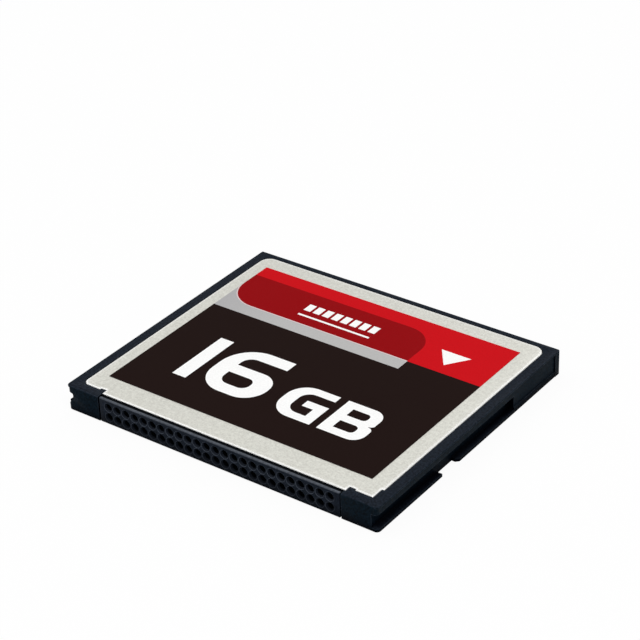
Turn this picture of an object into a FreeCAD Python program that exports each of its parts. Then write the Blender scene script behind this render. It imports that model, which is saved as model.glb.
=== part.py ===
import FreeCAD, Part
import math
import os

# Compact flash card, Type I: a moulded frame between two drawn steel covers, with a 50-socket
# connector across its front edge and a populated circuit board inside.
# Lengths are in millimetres. While the pieces are made, x runs across the card, y runs from the
# connector face to the rear and z runs up from the underside. Each finished piece then moves
# forward by half the length, which puts the origin under the middle of the card.

V = FreeCAD.Vector

# Card envelope
card_width = 42.8
card_length = 36.4
card_thickness = 3.3

# Steel covers
sheet = 0.15
cover_proud = 0.02
cover_gap = 0.07
skirt_depth = 0.46
skirt_floor_gap = 0.05
top_side_land = 1.30
top_back_land = 0.80
base_side_land = 1.50
base_back_land = 1.30
cover_front_land = 0.85
tab_land = 1.38
tab_radius = 0.80
back_radius = 1.40
notch_from_joint = 0.05
notch_width = 0.80
notch_end = 1.62
corner_relief = 0.28
skirt_start = 3.06
cover_edge = 0.08

# Printed label
label_thickness = 0.04
label_left_margin = 1.70
label_right_margin = 2.15
label_front_margin = 3.10
label_back_margin = 2.25

# Moulded frame
front_radius = 0.50
rear_radius = 0.20
top_edge = 0.06
bottom_edge = 0.06
flange_depth = 0.20
side_inset = 0.15
lip_inset = 0.04
lip_height = 0.80
inset_rear_land = 1.0
rail_width = 2.5
back_rail_width = 2.1
ledge_width = 0.6
front_block_width = 4.7
ear_rear_wall = 0.5

# Guide grooves and lip notches
groove_depth = 0.9
groove_length = 26.6
right_groove_bottom = 0.45
right_groove_height = 1.73
left_groove_drop = 0.90
left_groove_height = 1.00
groove_bevel = 0.17
groove_floor_radius = 0.25
lip_notch_start = 12.0
lip_notch_length = 3.1
lip_notch_chamfer = 0.4

# Connector
joint_gap = 0.10
connector_depth = 6.2
bezel_depth = 0.50
bezel_margin = 0.10
bezel_edge = 0.12
housing_clearance = 0.08
socket_pitch = 1.27
socket_end_wall = 1.2
socket_radius = 0.40
ear_width = 1.0
ear_front = 2.0
ear_length = 2.5
ear_bottom = 0.9
ear_height = 1.5
ear_gap = 0.05

# Socket contacts
contact_thickness = 0.20
contact_tip = 0.70
fork_depth = 3.6
beam_thickness = 0.12
beam_clearance = 0.03
contact_bend = 0.20
contact_lead_in = 0.10
contact_foot = 0.90
foot_thickness = 0.15

# Bond films and insulating films
bond_film = 0.05
insulator = 0.05
film_margin = 0.10
insulator_side_gap = 0.30
insulator_front_gap = 0.30

# Circuit board
board_thickness = 0.6
board_gap = 0.10
board_setback = 1.0

# Chips and the memory chips' leads
chip_standoff = 0.05
chip_headroom = 0.07
chip_edge = 0.12
lead_thickness = 0.12
lead_width = 0.22
lead_pitch = 0.5
lead_foot = 0.40
lead_end_room = 0.2
flash_reach = 0.8
flash_side_room = 4.2
flash_middle_room = 2.6
flash_front_room = 4.7
flash_rear_room = 2.3
controller_side_room = 5.6
controller_middle_room = 3.2
controller_front_room = 10.1
controller_rear_room = 6.9

# Small parts on the board
crystal_width = 3.2
crystal_length = 2.5
crystal_height = 0.55
crystal_lid_inset = 0.25
crystal_lid_height = 0.15
crystal_rear_room = 1.85
regulator_width = 1.6
regulator_length = 2.9
regulator_drop = 0.1
regulator_lead_reach = 0.6
regulator_lead_spacing = 1.9
regulator_side_room = 1.6
regulator_front_room = 3.45
row_side_room = 2.5
capacitor_length = 1.6
capacitor_width = 0.8
capacitor_cap = 0.35
capacitor_rim = 0.02
capacitor_spacing = 2.4
capacitor_middle_room = 0.6
capacitor_front_room = 3.3
resistor_length = 1.0
resistor_width = 0.5
resistor_height = 0.35
resistor_spacing = 1.5
resistor_middle_room = 0.9
resistor_front_room = 5.65

# Heights that follow from the sizes above
mid_height = card_thickness / 2
top_cover_top = card_thickness - label_thickness
top_cover_under = top_cover_top - sheet
frame_top = top_cover_top - cover_proud
frame_bottom = cover_proud
left_groove_bottom = frame_top - left_groove_drop - left_groove_height
inner_middle = (top_cover_under + sheet) / 2
board_bottom = inner_middle - board_thickness / 2
board_top = inner_middle + board_thickness / 2
chip_height = top_cover_under - insulator - chip_headroom - chip_standoff - board_top

# Places that follow from the sizes above
half_width = card_width / 2
top_half_width = half_width - top_side_land
top_back = card_length - top_back_land
base_half_width = half_width - base_side_land
base_back = card_length - base_back_land
block_inner = half_width - front_block_width
block_back = ear_front + ear_length + ear_rear_wall
connector_width = 2 * (block_inner - joint_gap)
sockets_in_row = 1 + int((connector_width - 2 * socket_end_wall) / socket_pitch)
notch_inner = block_inner + notch_from_joint
notch_outer = notch_inner + notch_width
rail_inner = half_width - rail_width
ledge_inner = rail_inner - ledge_width
back_rail_inner = card_length - back_rail_width
back_ledge_inner = back_rail_inner - ledge_width
groove_floor = half_width - groove_depth
side_wall = half_width - side_inset
lip_wall = half_width - lip_inset
label_left = label_left_margin - top_half_width
label_right = top_half_width - label_right_margin
label_front = cover_front_land + label_front_margin
label_back = top_back - label_back_margin
board_half_width = rail_inner - board_gap
board_front = connector_depth + board_setback
board_back = back_rail_inner - board_gap
flash_width = board_half_width - flash_side_room - flash_middle_room
flash_length = board_back - flash_rear_room - board_front - flash_front_room - 2 * flash_reach
flash_x = -flash_middle_room - flash_width / 2
flash_y = board_front + flash_front_room + flash_reach + flash_length / 2
leads_at_end = 1 + int((flash_width - 2 * lead_end_room) / lead_pitch)
controller_width = board_half_width - controller_side_room - controller_middle_room
controller_length = board_back - controller_rear_room - board_front - controller_front_room
controller_x = controller_middle_room + controller_width / 2
controller_y = board_front + controller_front_room + controller_length / 2
crystal_y = board_back - crystal_rear_room - crystal_length / 2
regulator_x = board_half_width - regulator_side_room - regulator_lead_reach - regulator_width / 2
regulator_y = board_front + regulator_front_room + regulator_length / 2
row_end = regulator_x - regulator_width / 2 - regulator_lead_reach - row_side_room

# A cutter runs past the face that it opens by this much
overrun = 1.0


# Basic shapes
def box(x_low, x_high, y_low, y_high, z_low, z_high):
    """Box between two opposite corners."""
    return Part.makeBox(x_high - x_low, y_high - y_low, z_high - z_low, V(x_low, y_low, z_low))


def outline_face(points):
    """Flat face at z 0 whose corners are given as (x, y, radius)."""
    corners = [V(x, y, 0) for x, y, radius in points]
    entries = []
    exits = []
    arcs = []
    for index, (x, y, radius) in enumerate(points):
        here = corners[index]
        to_last = (corners[index - 1] - here).normalize()
        to_next = (corners[(index + 1) % len(points)] - here).normalize()
        if radius <= 0:
            entries.append(here)
            exits.append(here)
            arcs.append(None)
            continue
        half_angle = to_last.getAngle(to_next) / 2
        reach = radius / math.tan(half_angle)
        bisector = (to_last + to_next).normalize()
        middle = here + bisector * (radius / math.sin(half_angle) - radius)
        entries.append(here + to_last * reach)
        exits.append(here + to_next * reach)
        arcs.append(Part.Arc(entries[-1], middle, exits[-1]).toShape())
    edges = []
    for index in range(len(points)):
        if arcs[index] is not None:
            edges.append(arcs[index])
        edges.append(Part.makeLine(exits[index], entries[(index + 1) % len(points)]))
    return Part.Face(Part.Wire(edges))


def slab(points, z_low, z_high):
    """Upright solid over an outline."""
    solid = outline_face(points).extrude(V(0, 0, z_high - z_low))
    solid.translate(V(0, 0, z_low))
    return solid


def grown(points, margin):
    """Counter-clockwise outline with each side moved outwards by margin."""
    corners = [V(x, y, 0) for x, y, radius in points]
    moved = []
    for index, (x, y, radius) in enumerate(points):
        here = corners[index]
        arriving = (here - corners[index - 1]).normalize()
        leaving = (corners[(index + 1) % len(points)] - here).normalize()
        outward = V(arriving.y + leaving.y, -arriving.x - leaving.x, 0)
        place = here + outward * (margin / (1 + arriving.dot(leaving)))
        turn = 1 if arriving.cross(leaving).z > 0 else -1
        new_radius = max(radius + turn * margin, 0) if radius > 0 else 0
        moved.append((place.x, place.y, new_radius))
    return moved


def profile_along_x(points, x_low, x_high):
    """Prism across the card whose section is given as (y, z)."""
    ring = [V(x_low, y, z) for y, z in points]
    return Part.Face(Part.makePolygon(ring + ring[:1])).extrude(V(x_high - x_low, 0, 0))


def profile_along_y(points, y_low, y_high):
    """Prism along the card whose section corners are given as (x, z, radius)."""
    face = outline_face(points)
    face.rotate(V(0, 0, 0), V(1, 0, 0), 90)
    face.translate(V(0, y_low, 0))
    return face.extrude(V(0, y_high - y_low, 0))


def edges_at(solid, level):
    """Edges that lie flat at one height."""
    near = 0.001
    return [edge for edge in solid.Edges
            if abs(edge.BoundBox.ZMin - level) < near and abs(edge.BoundBox.ZMax - level) < near]


def turned_over(shape, height):
    """Shape turned upside down about the lengthwise axis and raised to a height."""
    flipped = shape.copy()
    flipped.rotate(V(0, 0, 0), V(0, 1, 0), 180)
    flipped.translate(V(0, 0, height))
    return flipped


def raised(shape, height):
    """Shape moved up to a height."""
    moved = shape.copy()
    moved.translate(V(0, 0, height))
    return moved


# Steel covers
def cover_outline(side, back):
    """Counter-clockwise outline of a cover that reaches side across and back lengthwise."""
    relief_side = side - corner_relief
    return [
        (-notch_inner, cover_front_land, 0),
        (notch_inner, cover_front_land, 0),
        (notch_inner, notch_end, 0),
        (notch_outer, notch_end, 0),
        (notch_outer, tab_land, 0),
        (relief_side, tab_land, 0),
        (relief_side, skirt_start, 0),
        (side, skirt_start, 0),
        (side, back, back_radius),
        (-side, back, back_radius),
        (-side, tab_land, tab_radius),
        (-notch_outer, tab_land, 0),
        (-notch_outer, notch_end, 0),
        (-notch_inner, notch_end, 0),
    ]


def ahead_of_skirt(side, y_limit):
    """Region in front of a cover's bent skirt, up to y_limit and below the sheet."""
    reach = side + overrun
    return box(-reach, reach, -overrun, y_limit, -skirt_depth - overrun, -sheet)


def drawn_cover(side, back):
    """Cover with its outer face up at z 0 and its skirt bent down at the sides and the rear."""
    outline = cover_outline(side, back)
    pan = slab(outline, -skirt_depth, 0)
    pan = pan.cut(ahead_of_skirt(side, skirt_start))
    pan = pan.cut(slab(grown(outline, -sheet), -skirt_depth - overrun, -sheet))
    return pan.makeChamfer(min(cover_edge, 0.8 * sheet), edges_at(pan, 0))


def cover_pocket(side, back):
    """Space that a cover takes out of the frame: a seat for its sheet and a groove for its skirt."""
    outline = cover_outline(side, back)
    seat = slab(grown(outline, cover_gap), -sheet - bond_film, overrun)
    groove = slab(grown(outline, cover_gap), -skirt_depth - skirt_floor_gap, -sheet)
    groove = groove.cut(slab(grown(outline, -sheet - cover_gap), -skirt_depth - overrun, overrun))
    reach = side + overrun
    groove_start = skirt_start - cover_gap
    groove = groove.cut(box(-reach, reach, -overrun, groove_start, -skirt_depth - overrun, overrun))
    return seat.fuse(groove)


def top_cover():
    """Upper cover, which carries the label."""
    return raised(drawn_cover(top_half_width, top_back), top_cover_top)


def bottom_cover():
    """Lower cover, narrower than the upper one to leave the lower lips their root."""
    return turned_over(drawn_cover(base_half_width, base_back), 0)


def top_label():
    """Printed label on the upper cover."""
    return box(label_left, label_right, label_front, label_back, top_cover_top, card_thickness)


# Moulded frame
def wall_outline(side):
    """Outline of the frame below its flange: walls at side, and full width at the rear."""
    rear_land = card_length - inset_rear_land
    return [
        (-side, 0, front_radius),
        (side, 0, front_radius),
        (side, rear_land, 0),
        (half_width, rear_land, 0),
        (half_width, card_length, rear_radius),
        (-half_width, card_length, rear_radius),
        (-half_width, rear_land, 0),
        (-side, rear_land, 0),
    ]


def frame_body():
    """Outer block of the frame: a flange, side walls that are set in and wider lower lips."""
    flange = [
        (-half_width, 0, front_radius),
        (half_width, 0, front_radius),
        (half_width, card_length, rear_radius),
        (-half_width, card_length, rear_radius),
    ]
    flange_bottom = frame_top - flange_depth
    upper = slab(flange, flange_bottom, frame_top)
    upper = upper.makeChamfer(min(top_edge, 0.8 * flange_depth), edges_at(upper, frame_top))
    waist = slab(wall_outline(side_wall), lip_height, flange_bottom)
    lower = slab(wall_outline(lip_wall), frame_bottom, lip_height)
    lower = lower.makeChamfer(bottom_edge, edges_at(lower, frame_bottom))
    return upper.fuse([waist, lower])


def frame_cavity():
    """Space inside the frame: the connector's opening and the board's room over its ledges."""
    opening = box(-block_inner, block_inner, -overrun, block_back + overrun,
                  -overrun, card_thickness + overrun)
    room = box(-ledge_inner, ledge_inner, block_back, back_ledge_inner,
               -overrun, card_thickness + overrun)
    above = box(-rail_inner, rail_inner, block_back, back_rail_inner,
                board_bottom, card_thickness + overrun)
    return opening.fuse(room).fuse(above)


def ear_slot(side):
    """Slot in a front block that takes one ear of the connector; side is 1 or -1."""
    inner = side * (block_inner - overrun)
    outer = side * (connector_width / 2 + ear_width + ear_gap)
    return box(min(inner, outer), max(inner, outer), ear_front - ear_gap,
               ear_front + ear_length + ear_gap, ear_bottom, card_thickness + overrun)


def right_groove():
    """Square guide groove in the right side."""
    return box(groove_floor, half_width + overrun, -overrun, groove_length,
               right_groove_bottom, right_groove_bottom + right_groove_height)


def left_groove():
    """Guide groove in the left side, with a bevelled mouth and a rounded floor."""
    low = left_groove_bottom
    high = left_groove_bottom + left_groove_height
    outside = half_width + overrun
    section = [
        (-groove_floor, low, groove_floor_radius),
        (-groove_floor, high, groove_floor_radius),
        (-side_wall + groove_bevel, high, 0),
        (-side_wall, high + groove_bevel, 0),
        (-outside, high + groove_bevel, 0),
        (-outside, low - groove_bevel, 0),
        (-side_wall, low - groove_bevel, 0),
        (-side_wall + groove_bevel, low, 0),
    ]
    return profile_along_y(section, -overrun, groove_length)


def lip_notch(side, lip_top):
    """Notch through the lower lip of one side, with a chamfered rear end; side is 1 or -1."""
    outside = half_width + overrun
    rear = lip_notch_start + lip_notch_length
    plan = [
        (side * groove_floor, lip_notch_start, 0),
        (side * outside, lip_notch_start, 0),
        (side * outside, rear + lip_notch_chamfer, 0),
        (side * lip_wall, rear + lip_notch_chamfer, 0),
        (side * (lip_wall - lip_notch_chamfer), rear, 0),
        (side * groove_floor, rear, 0),
    ]
    return slab(plan, -overrun, lip_top)


def frame():
    """Moulded frame with its cover pockets, board ledges, ear slots, grooves and notches."""
    cutters = [
        frame_cavity(),
        raised(cover_pocket(top_half_width, top_back), top_cover_top),
        turned_over(cover_pocket(base_half_width, base_back), 0),
        ear_slot(1),
        ear_slot(-1),
        right_groove(),
        left_groove(),
        lip_notch(1, right_groove_bottom),
        lip_notch(-1, left_groove_bottom),
    ]
    return frame_body().cut(cutters).removeSplitter()


# Connector
def socket_places():
    """Places across the card of the sockets in one row."""
    first = -socket_pitch * (sockets_in_row - 1) / 2
    return [first + index * socket_pitch for index in range(sockets_in_row)]


def row_heights():
    """Heights of the lower and the upper row of sockets."""
    return (mid_height - socket_pitch / 2, mid_height + socket_pitch / 2)


def socket_cutter(x, z):
    """Bore of one socket, right through the connector."""
    return Part.makeCylinder(socket_radius, connector_depth, V(x, 0, z), V(0, 1, 0))


def connector_housing():
    """Moulded connector with a raised bezel, two ears and two rows of sockets."""
    reach = connector_width / 2
    bezel = box(-reach, reach, 0, bezel_depth, bezel_margin, card_thickness - bezel_margin)
    front_edges = [edge for edge in bezel.Edges if edge.BoundBox.YMax < bezel_depth / 2]
    bezel = bezel.makeChamfer(bezel_edge, front_edges)
    core = box(-reach, reach, bezel_depth, connector_depth,
               sheet + housing_clearance, top_cover_under - housing_clearance)
    ears = box(-reach - ear_width, reach + ear_width, ear_front, ear_front + ear_length,
               ear_bottom, ear_bottom + ear_height)
    housing = bezel.fuse([core, ears]).removeSplitter()
    return housing.cut([socket_cutter(x, z) for z in row_heights() for x in socket_places()])


def contact_section(row_height, pad_height):
    """Side view of a stamped contact, as (y, z): a fork, a shank and a foot on the board."""
    reach = socket_radius - beam_clearance
    outer = math.sqrt(reach ** 2 - (contact_thickness / 2) ** 2)
    inner = outer - beam_thickness
    side = 1 if row_height > pad_height else -1
    throat = contact_tip + fork_depth
    bend = connector_depth + contact_bend
    foot_end = board_front + foot_thickness + contact_foot
    return [
        (contact_tip, row_height + side * outer),
        (contact_tip, row_height + side * inner),
        (throat, row_height + side * inner),
        (throat, row_height - side * inner),
        (contact_tip, row_height - side * inner),
        (contact_tip, row_height - side * outer),
        (bend, row_height - side * outer),
        (board_front - contact_lead_in, pad_height),
        (foot_end, pad_height),
        (foot_end, pad_height + side * foot_thickness),
        (bend, row_height + side * outer),
    ]


def contact_row(row_height, pad_height):
    """The contacts of one row, soldered to one face of the board."""
    section = contact_section(row_height, pad_height)
    half = contact_thickness / 2
    return Part.makeCompound([profile_along_x(section, x - half, x + half) for x in socket_places()])


# Films
def bond_ring(side, back, inner_side, inner_back):
    """Adhesive strip on a cover's seat, round three sides of the board's room."""
    margin = sheet + cover_gap + film_margin
    reach = side - margin
    rear = back - margin
    cut = back_radius - margin
    outline = [
        (-reach, block_back, 0),
        (reach, block_back, 0),
        (reach, rear - cut, 0),
        (reach - cut, rear, 0),
        (cut - reach, rear, 0),
        (-reach, rear - cut, 0),
    ]
    strip = slab(outline, -sheet - bond_film, -sheet)
    return strip.cut(box(-inner_side, inner_side, 0, inner_back, -card_thickness, overrun))


def upper_bond_film():
    """Adhesive between the frame and the upper cover."""
    return raised(bond_ring(top_half_width, top_back, rail_inner, back_rail_inner), top_cover_top)


def lower_bond_film():
    """Adhesive between the frame and the lower cover."""
    return turned_over(bond_ring(base_half_width, base_back, ledge_inner, back_ledge_inner), 0)


def insulator_sheet(inner_side, inner_back, z_low):
    """Insulating film inside a cover, over the board's room."""
    reach = inner_side - insulator_side_gap
    return box(-reach, reach, connector_depth + insulator_front_gap,
               inner_back - insulator_side_gap, z_low, z_low + insulator)


# Circuit board and what it carries
def circuit_board():
    """Board on the frame's ledges."""
    return box(-board_half_width, board_half_width, board_front, board_back,
               board_bottom, board_top)


def on_top(shape, x, y):
    """Shape made standing on z 0, set on the board's upper face at x and y."""
    moved = shape.copy()
    moved.translate(V(x, y, board_top))
    return moved


def underneath(shape, x, y):
    """The same, set on the board's lower face and upside down."""
    moved = turned_over(shape, board_bottom)
    moved.translate(V(x, y, 0))
    return moved


def chip_body(size_x, size_y, standoff):
    """Moulded chip body, with its upper edges broken."""
    top = standoff + chip_height
    body = box(-size_x / 2, size_x / 2, -size_y / 2, size_y / 2, standoff, top)
    return body.makeChamfer(chip_edge, edges_at(body, top))


def bent_lead(reach, exit_height):
    """One lead that leaves a body at x 0 and lands on the board at x reach."""
    section = [
        (0, exit_height, 0),
        (reach - lead_foot, 0, 0),
        (reach, 0, 0),
        (0, exit_height + lead_thickness, 0),
    ]
    return profile_along_y(section, -lead_width / 2, lead_width / 2)


def lead_row(count, body_reach, reach, angle):
    """Leads along one side of a chip body, turned about the chip's middle by angle."""
    row = []
    exit_height = chip_standoff + chip_height / 2 - lead_thickness / 2
    first = -lead_pitch * (count - 1) / 2
    for index in range(count):
        lead = bent_lead(reach, exit_height)
        lead.translate(V(body_reach, first + index * lead_pitch, 0))
        lead.rotate(V(0, 0, 0), V(0, 0, 1), angle)
        row.append(lead)
    return row


def flash_leads():
    """Leads at the two ends of a memory chip."""
    leads = []
    for angle in (90, 270):
        leads.extend(lead_row(leads_at_end, flash_length / 2, flash_reach, angle))
    return Part.makeCompound(leads)


def centred_block(size_x, size_y, z_low, z_high):
    """Box centred on the z axis."""
    return box(-size_x / 2, size_x / 2, -size_y / 2, size_y / 2, z_low, z_high)


def crystal():
    """Clock crystal: a ceramic tray with its lid."""
    tray = centred_block(crystal_width, crystal_length, 0, crystal_height)
    lid = centred_block(crystal_width - 2 * crystal_lid_inset,
                        crystal_length - 2 * crystal_lid_inset,
                        crystal_height, crystal_height + crystal_lid_height)
    return tray.fuse(lid)


def voltage_regulator():
    """Small moulded regulator with two leads on one side and one on the other."""
    height = chip_height - regulator_drop
    solid = centred_block(regulator_width, regulator_length, chip_standoff, chip_standoff + height)
    exit_height = chip_standoff + height / 2 - lead_thickness / 2
    spread = regulator_lead_spacing / 2
    for side, y in ((-1, -spread), (-1, spread), (1, 0)):
        lead = bent_lead(regulator_lead_reach, exit_height)
        lead.translate(V(regulator_width / 2, 0, 0))
        if side < 0:
            lead.rotate(V(0, 0, 0), V(0, 0, 1), 180)
        lead.translate(V(0, y, 0))
        solid = solid.fuse(lead)
    return solid.removeSplitter()


def capacitor():
    """Square-section chip capacitor with a metal cap at each end."""
    thinner = capacitor_width - 2 * capacitor_rim
    solid = centred_block(capacitor_length, thinner, capacitor_rim, capacitor_width - capacitor_rim)
    for side in (-1, 1):
        cap = centred_block(capacitor_cap, capacitor_width, 0, capacitor_width)
        cap.translate(V(side * (capacitor_length - capacitor_cap) / 2, 0, 0))
        solid = solid.fuse(cap)
    return solid.removeSplitter()


def row_on_board(shape, length, spacing, start, y):
    """Copies of a small part on the board's upper face, from start as far as the row's end."""
    count = 1 + int((row_end - start - length) / spacing)
    first = start + length / 2
    return Part.makeCompound([on_top(shape, first + index * spacing, y) for index in range(count)])


# The whole card
def all_pieces():
    """Every piece by its node name."""
    lower_row, upper_row = row_heights()
    flash = chip_body(flash_width, flash_length, chip_standoff)
    controller = chip_body(controller_width, controller_length, 0)
    resistor = centred_block(resistor_length, resistor_width, 0, resistor_height)
    return {
        "frame": frame(),
        "top_cover": top_cover(),
        "bottom_cover": bottom_cover(),
        "top_label": top_label(),
        "connector_housing": connector_housing(),
        "upper_contacts": contact_row(upper_row, board_top),
        "lower_contacts": contact_row(lower_row, board_bottom),
        "upper_bond_film": upper_bond_film(),
        "lower_bond_film": lower_bond_film(),
        "upper_insulator": insulator_sheet(rail_inner, back_rail_inner, top_cover_under - insulator),
        "lower_insulator": insulator_sheet(ledge_inner, back_ledge_inner, sheet),
        "circuit_board": circuit_board(),
        "flash_chip_upper": on_top(flash, flash_x, flash_y),
        "flash_leads_upper": on_top(flash_leads(), flash_x, flash_y),
        "flash_chip_lower": underneath(flash, flash_x, flash_y),
        "flash_leads_lower": underneath(flash_leads(), flash_x, flash_y),
        "controller_chip": on_top(controller, controller_x, controller_y),
        "crystal": on_top(crystal(), controller_x, crystal_y),
        "voltage_regulator": on_top(voltage_regulator(), regulator_x, regulator_y),
        "capacitors": row_on_board(capacitor(), capacitor_length, capacitor_spacing,
                                   capacitor_middle_room,
                                   board_front + capacitor_front_room + capacitor_width / 2),
        "resistors": row_on_board(resistor, resistor_length, resistor_spacing,
                                  resistor_middle_room,
                                  board_front + resistor_front_room + resistor_width / 2),
    }


def main():
    """Write one STEP file for each piece, in the card's own frame."""
    os.makedirs("parts", exist_ok=True)
    for name, shape in all_pieces().items():
        placed = shape.copy()
        placed.translate(V(0, -card_length / 2, 0))
        placed.exportStep(os.path.join("parts", name + ".step"))
        print(name, "solids", len(placed.Solids), "valid", placed.isValid(),
              "volume", round(placed.Volume, 3))


main()
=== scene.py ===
"""Looks of a compact flash card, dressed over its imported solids.

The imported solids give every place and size. The visible pieces are refined copies or
new meshes in the same places, and each gets a procedural finish. Lengths are in metres,
except for names that end in _mm and for places on the label, which are in millimetres.
"""

import logging
import math
from dataclasses import dataclass, field
from enum import Enum
from typing import Any

import bmesh
import bpy
from mathutils import Matrix, Vector
from mathutils.geometry import delaunay_2d_cdt


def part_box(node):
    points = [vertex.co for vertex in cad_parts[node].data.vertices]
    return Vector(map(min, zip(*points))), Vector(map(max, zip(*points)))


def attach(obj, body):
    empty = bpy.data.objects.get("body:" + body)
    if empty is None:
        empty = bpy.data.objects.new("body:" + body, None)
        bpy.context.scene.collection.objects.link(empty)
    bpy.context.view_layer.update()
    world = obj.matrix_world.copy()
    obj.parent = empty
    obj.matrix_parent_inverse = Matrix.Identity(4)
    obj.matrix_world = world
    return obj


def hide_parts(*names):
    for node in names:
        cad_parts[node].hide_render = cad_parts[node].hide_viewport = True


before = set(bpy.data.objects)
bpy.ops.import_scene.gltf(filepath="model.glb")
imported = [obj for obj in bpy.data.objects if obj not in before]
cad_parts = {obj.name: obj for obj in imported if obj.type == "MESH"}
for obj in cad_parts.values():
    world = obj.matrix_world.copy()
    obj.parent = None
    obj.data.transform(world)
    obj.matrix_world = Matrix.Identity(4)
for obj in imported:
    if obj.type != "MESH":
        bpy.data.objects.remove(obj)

MM = 0.001
ROOT = "root"
log = logging.getLogger("card")

Colour = tuple[float, float, float, float]
Corner = tuple[float, float, float]
Point = tuple[float, float]

WHITE: Colour = (1.0, 1.0, 1.0, 1.0)
MERGE_DISTANCE = 0.0005 * MM


def paint(red: int, green: int, blue: int) -> Colour:
    """Linear colour of a display colour given from 0 to 255."""
    return (*(channel_to_linear(value / 255) for value in (red, green, blue)), 1.0)


def channel_to_linear(value: float) -> float:
    """One display channel, from 0 to 1, made linear."""
    return value / 12.92 if value <= 0.04045 else ((value + 0.055) / 1.055) ** 2.4


class NodeSheet:
    """Adds nodes to one shader or geometry tree and links them."""

    def __init__(self, tree: bpy.types.NodeTree) -> None:
        """Work on the given tree."""
        self.tree = tree

    def add(self, kind: str, inputs: dict[Any, Any] | None = None, **settings: Any) -> Any:
        """Add one node.

        Args:
            kind: The node's type name.
            inputs: Values or source sockets by input name or number.
            settings: Values of the node's own properties.

        Returns:
            The new node.
        """
        node = self.tree.nodes.new(kind)
        for name, value in settings.items():
            setattr(node, name, value)
        for key, value in (inputs or {}).items():
            self.feed(node.inputs[key], value)
        return node

    def feed(self, socket: bpy.types.NodeSocket, value: Any) -> None:
        """Link an input to the socket that it is given, or set it to a plain value.

        Args:
            socket: The input.
            value: A source socket or a value.
        """
        if isinstance(value, bpy.types.NodeSocket):
            self.tree.links.new(value, socket)
        else:
            socket.default_value = value

    def maths(self, operation: str, first: Any, second: Any = 0.0) -> bpy.types.NodeSocket:
        """Result of one arithmetic step on two values or sockets."""
        return self.add("ShaderNodeMath", {0: first, 1: second}, operation=operation).outputs[0]

    def spread(self, value: Any, low: Any, high: Any, start: Any = 0.0,
               end: Any = 1.0) -> bpy.types.NodeSocket:
        """Value between start and end, mapped to run from low to high.

        Args:
            value: Socket that is mapped.
            low: Result at start.
            high: Result at end.
            start: Value that gives low.
            end: Value that gives high.

        Returns:
            The mapped value's socket.
        """
        inputs = {"Value": value, "From Min": start, "From Max": end, "To Min": low, "To Max": high}
        return self.add("ShaderNodeMapRange", inputs).outputs["Result"]

    def blend(self, factor: Any, first: Any, second: Any) -> bpy.types.NodeSocket:
        """Colour between two colours."""
        node = self.add("ShaderNodeMix", {0: factor, 6: first, 7: second}, data_type="RGBA")
        return node.outputs[2]

    def brighter(self, colour: Any, value: float) -> bpy.types.NodeSocket:
        """Colour with its brightness multiplied by a value."""
        return self.add("ShaderNodeHueSaturation", {"Color": colour, "Value": value}).outputs[0]

    def place(self) -> bpy.types.NodeSocket:
        """The shaded point in the card's own frame, in metres."""
        return self.add("ShaderNodeTexCoord").outputs["Object"]

    def noise(self, scale: Any, detail: float, **others: float) -> bpy.types.NodeSocket:
        """Strength of a noise that is fixed to the card.

        Args:
            scale: Number or socket with the noise's scale, per metre.
            detail: Number of finer layers.
            others: Values of the node's other inputs.

        Returns:
            The strength's socket, mostly between 0.3 and 0.7.
        """
        inputs = {"Vector": self.place(), "Scale": scale, "Detail": detail, **others}
        return self.add("ShaderNodeTexNoise", inputs).outputs["Fac"]


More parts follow.
